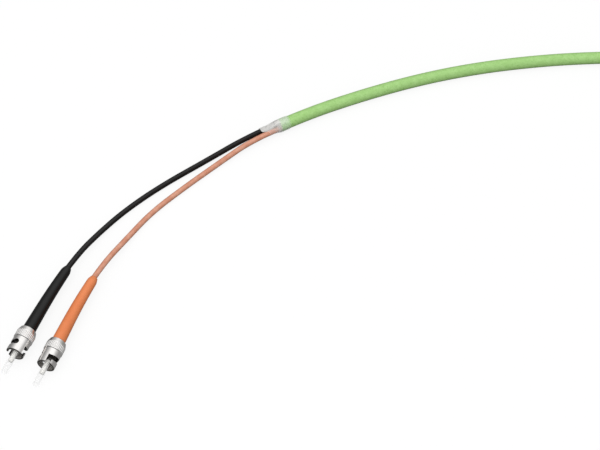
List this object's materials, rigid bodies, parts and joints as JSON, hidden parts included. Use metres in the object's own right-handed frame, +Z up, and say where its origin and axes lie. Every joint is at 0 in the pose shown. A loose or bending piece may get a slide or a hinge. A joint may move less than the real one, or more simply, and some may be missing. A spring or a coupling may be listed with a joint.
{
  "type": "fiber optic patch cord",
  "caption": "Duplex fibre patch cord: green cable splitting into black and orange leads with long boots, metal bayonet nuts, ceramic ferrules and clear dust caps.",
  "frame": {"origin": "on the table, in the middle of the near pair of plugs", "axes": "+Z up from the table, +X along the way the cable leaves the picture to the right, +Y away from the viewer"},
  "size_m": [0.4402, 0.2667, 0.0142],
  "materials": {
    "green_jacket": "satin",
    "black_jacket": "satin",
    "orange_jacket": "satin",
    "black_boot": "matte",
    "orange_boot": "matte",
    "clear_shrink": "satin",
    "plated_nut": "polished",
    "plated_inner": "satin",
    "plated_sleeve": "satin",
    "spring_steel": "satin",
    "ceramic": "polished",
    "clear_cap": "satin",
    "buffer": "satin"
  },
  "bodies": {
    "cord": {"near_black_boot": "black_boot", "near_black_crimp_sleeve": "plated_sleeve", "near_black_lead_end": "black_jacket", "near_black_fibre_buffer": "buffer", "near_black_barrel": "plated_inner", "near_black_retaining_ring": "plated_inner", "near_black_ferrule": "ceramic", "near_black_spring": "spring_steel", "near_orange_boot": "orange_boot", "near_orange_crimp_sleeve": "plated_sleeve", "near_orange_lead_end": "orange_jacket", "near_orange_fibre_buffer": "buffer", "near_orange_barrel": "plated_inner", "near_orange_retaining_ring": "plated_inner", "near_orange_ferrule": "ceramic", "near_orange_spring": "spring_steel", "far_black_boot": "black_boot", "far_black_crimp_sleeve": "plated_sleeve", "far_black_lead_end": "black_jacket", "far_black_fibre_buffer": "buffer", "far_black_barrel": "plated_inner", "far_black_retaining_ring": "plated_inner", "far_black_ferrule": "ceramic", "far_black_spring": "spring_steel", "far_orange_boot": "orange_boot", "far_orange_crimp_sleeve": "plated_sleeve", "far_orange_lead_end": "orange_jacket", "far_orange_fibre_buffer": "buffer", "far_orange_barrel": "plated_inner", "far_orange_retaining_ring": "plated_inner", "far_orange_ferrule": "ceramic", "far_orange_spring": "spring_steel", "cable_run": "green_jacket", "cable_coil": "green_jacket", "cable_tail": "green_jacket", "near_split_sleeve": "clear_shrink", "far_split_sleeve": "clear_shrink", "near_black_lead": "black_jacket", "near_orange_lead": "orange_jacket", "far_black_lead": "black_jacket", "far_orange_lead": "orange_jacket"},
    "near_black_seat": {"near_black_thrust_washer": "plated_inner"},
    "near_black_nut": {"near_black_coupling_nut": "plated_nut"},
    "near_black_cap": {"near_black_dust_cap": "clear_cap"},
    "near_orange_seat": {"near_orange_thrust_washer": "plated_inner"},
    "near_orange_nut": {"near_orange_coupling_nut": "plated_nut"},
    "near_orange_cap": {"near_orange_dust_cap": "clear_cap"},
    "far_black_seat": {"far_black_thrust_washer": "plated_inner"},
    "far_black_nut": {"far_black_coupling_nut": "plated_nut"},
    "far_orange_seat": {"far_orange_thrust_washer": "plated_inner"},
    "far_orange_nut": {"far_orange_coupling_nut": "plated_nut"}
  },
  "joints": [
    {"name": "near_black_nut_push", "type": "slide", "parent": "cord", "child": "near_black_seat", "axis": [-0.3907, -0.9205, 0], "range_m": [0, 0.0025], "stiffness_N_per_m": 2000, "springref_m": -0.003, "deforming": ["near_black_spring"]},
    {"name": "near_black_nut_turn", "type": "hinge", "parent": "near_black_seat", "child": "near_black_nut", "pos_m": [-0.016, -0.01746, 0.0051], "axis": [-0.3907, -0.9205, 0], "continuous": true},
    {"name": "near_black_cap_pull", "type": "slide", "parent": "cord", "child": "near_black_cap", "axis": [-0.3907, -0.9205, 0], "range_m": [0, 0.02]},
    {"name": "near_orange_nut_push", "type": "slide", "parent": "cord", "child": "near_orange_seat", "axis": [-0.3502, -0.9367, 0], "range_m": [0, 0.0025], "stiffness_N_per_m": 2000, "springref_m": -0.003, "deforming": ["near_orange_spring"]},
    {"name": "near_orange_nut_turn", "type": "hinge", "parent": "near_orange_seat", "child": "near_orange_nut", "pos_m": [0.00014, -0.02461, 0.0051], "axis": [-0.3502, -0.9367, 0], "continuous": true},
    {"name": "near_orange_cap_pull", "type": "slide", "parent": "cord", "child": "near_orange_cap", "axis": [-0.3502, -0.9367, 0], "range_m": [0, 0.02]},
    {"name": "far_black_nut_push", "type": "slide", "parent": "cord", "child": "far_black_seat", "axis": [-0.9986, -0.0523, 0], "range_m": [0, 0.0025], "stiffness_N_per_m": 2000, "springref_m": -0.003, "deforming": ["far_black_spring"]},
    {"name": "far_black_nut_turn", "type": "hinge", "parent": "far_black_seat", "child": "far_black_nut", "pos_m": [0.29802, -0.07752, 0.0051], "axis": [-0.9986, -0.0523, 0], "continuous": true},
    {"name": "far_orange_nut_push", "type": "slide", "parent": "cord", "child": "far_orange_seat", "axis": [-0.9994, 0.0349, 0], "range_m": [0, 0.0025], "stiffness_N_per_m": 2000, "springref_m": -0.003, "deforming": ["far_orange_spring"]},
    {"name": "far_orange_nut_turn", "type": "hinge", "parent": "far_orange_seat", "child": "far_orange_nut", "pos_m": [0.30081, -0.05846, 0.0051], "axis": [-0.9994, 0.0349, 0], "continuous": true}
  ]
}
